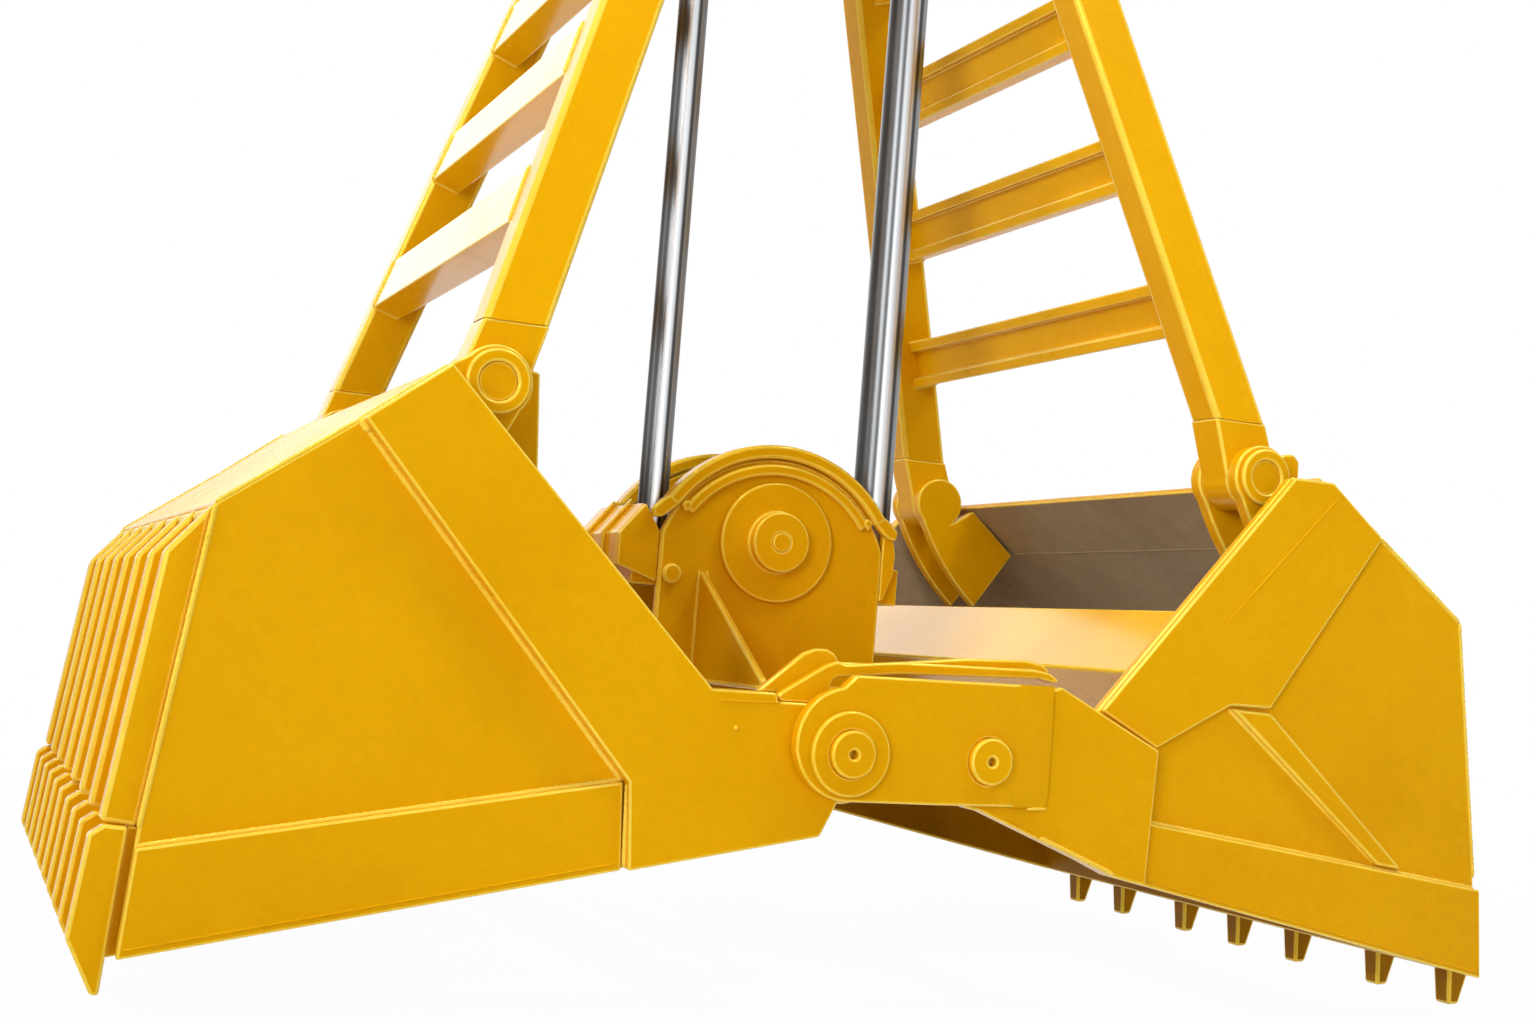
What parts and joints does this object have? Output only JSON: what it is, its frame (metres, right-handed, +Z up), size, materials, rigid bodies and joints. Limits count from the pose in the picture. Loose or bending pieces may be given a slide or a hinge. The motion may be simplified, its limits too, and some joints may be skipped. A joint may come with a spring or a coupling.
{
  "type": "mechanical grab",
  "caption": "Open two-shell grab hung from a lifting lug, with ladder arms, a sheave block on guide rods and toothed shells that close together to scoop loose material.",
  "frame": {"origin": "centre of the suspension lug's bore", "axes": "+Z up, +Y along the hinge pins and the suspension bore, +X across the mouth towards the toothed shell"},
  "size_m": [2.4726, 1.666, 2.8669],
  "materials": {
    "yellow_paint": "satin gloss golden yellow",
    "bare_steel": "machined",
    "polished_steel": "polished",
    "cast_iron": "as cast with worn grooves"
  },
  "bodies": {
    "head": {"head_outer_cheeks": "yellow_paint", "head_inner_cheeks": "yellow_paint", "head_box": "yellow_paint", "guide_plates": "yellow_paint", "guide_bushes": "bare_steel", "upper_axle": "bare_steel", "head_pivot_caps": "yellow_paint", "suspension_lug": "yellow_paint"},
    "upper_sheaves": {"upper_sheaves": "cast_iron"},
    "lower_block": {"traverse_beam": "yellow_paint", "traverse_end_plates": "yellow_paint", "hinge_links": "yellow_paint", "hinge_pins": "yellow_paint", "block_cheeks": "yellow_paint", "bearing_discs": "yellow_paint", "lower_axle": "yellow_paint", "sheave_guards": "yellow_paint", "guard_rims": "yellow_paint", "side_guards": "yellow_paint", "block_gussets": "yellow_paint", "block_bolts": "yellow_paint", "guide_rods": "polished_steel", "rod_sockets": "yellow_paint", "rod_collars": "bare_steel"},
    "lower_sheaves": {"lower_sheaves": "cast_iron"},
    "left_shell": {"left_side_plates": "yellow_paint", "left_hinge_cheeks": "yellow_paint", "left_mouth_bands": "yellow_paint", "left_top_plate": "yellow_paint", "left_back_plate": "yellow_paint", "left_back_ribs": "yellow_paint", "left_lip": "yellow_paint", "left_lip_bars": "yellow_paint", "left_cross_beam": "yellow_paint", "left_ears": "yellow_paint", "left_ear_rings": "yellow_paint", "left_ear_pins": "yellow_paint", "opening_straps": "yellow_paint"},
    "right_shell": {"right_side_plates": "yellow_paint", "right_hinge_plates": "yellow_paint", "right_edge_bands": "yellow_paint", "right_mouth_bands": "yellow_paint", "right_diagonal_strips": "yellow_paint", "right_top_plate": "yellow_paint", "right_back_plate": "yellow_paint", "right_back_ribs": "yellow_paint", "right_lip": "yellow_paint", "right_teeth": "yellow_paint", "right_cross_beam": "yellow_paint", "right_ears": "yellow_paint", "right_ear_rings": "yellow_paint", "right_ear_pins": "yellow_paint"},
    "left_arms": {"left_arm_boxes": "yellow_paint", "left_arm_eyes": "yellow_paint", "left_arm_top_pins": "bare_steel", "left_rungs": "yellow_paint"},
    "right_arms": {"right_arm_boxes": "yellow_paint", "right_arm_eyes": "yellow_paint", "right_arm_top_pins": "bare_steel", "right_rungs": "yellow_paint"}
  },
  "joints": [
    {"name": "block_hoist", "type": "slide", "parent": "head", "child": "lower_block", "axis": [0, 0, 1], "range_m": [0, 0.99265]},
    {"name": "left_shell_hinge", "type": "hinge", "parent": "lower_block", "child": "left_shell", "pos_m": [-0.125, 0, -2.389], "axis": [0, -1, 0], "range_deg": [0, 78.62]},
    {"name": "right_shell_hinge", "type": "hinge", "parent": "lower_block", "child": "right_shell", "pos_m": [0.125, 0, -2.389], "axis": [0, 1, 0], "range_deg": [0, 78.62]},
    {"name": "left_arm_hinge", "type": "hinge", "parent": "left_shell", "child": "left_arms", "pos_m": [-0.695, 0, -1.87], "axis": [0, 1, 0], "range_deg": [0, 80.73]},
    {"name": "right_arm_hinge", "type": "hinge", "parent": "right_shell", "child": "right_arms", "pos_m": [0.695, 0, -1.87], "axis": [0, -1, 0], "range_deg": [0, 80.73]},
    {"name": "lower_sheave_spin", "type": "hinge", "parent": "lower_block", "child": "lower_sheaves", "pos_m": [0, 0, -2.039], "axis": [0, 1, 0], "continuous": true},
    {"name": "upper_sheave_spin", "type": "hinge", "parent": "head", "child": "upper_sheaves", "pos_m": [0, 0, -0.44], "axis": [0, 1, 0], "continuous": true}
  ],
  "couplings": [
    {"joint": "left_shell_hinge", "follows": "block_hoist", "rad_per_m": 1.3822},
    {"joint": "right_shell_hinge", "follows": "block_hoist", "rad_per_m": 1.3822},
    {"joint": "left_arm_hinge", "follows": "block_hoist", "rad_per_m": 1.4193},
    {"joint": "right_arm_hinge", "follows": "block_hoist", "rad_per_m": 1.4193}
  ]
}
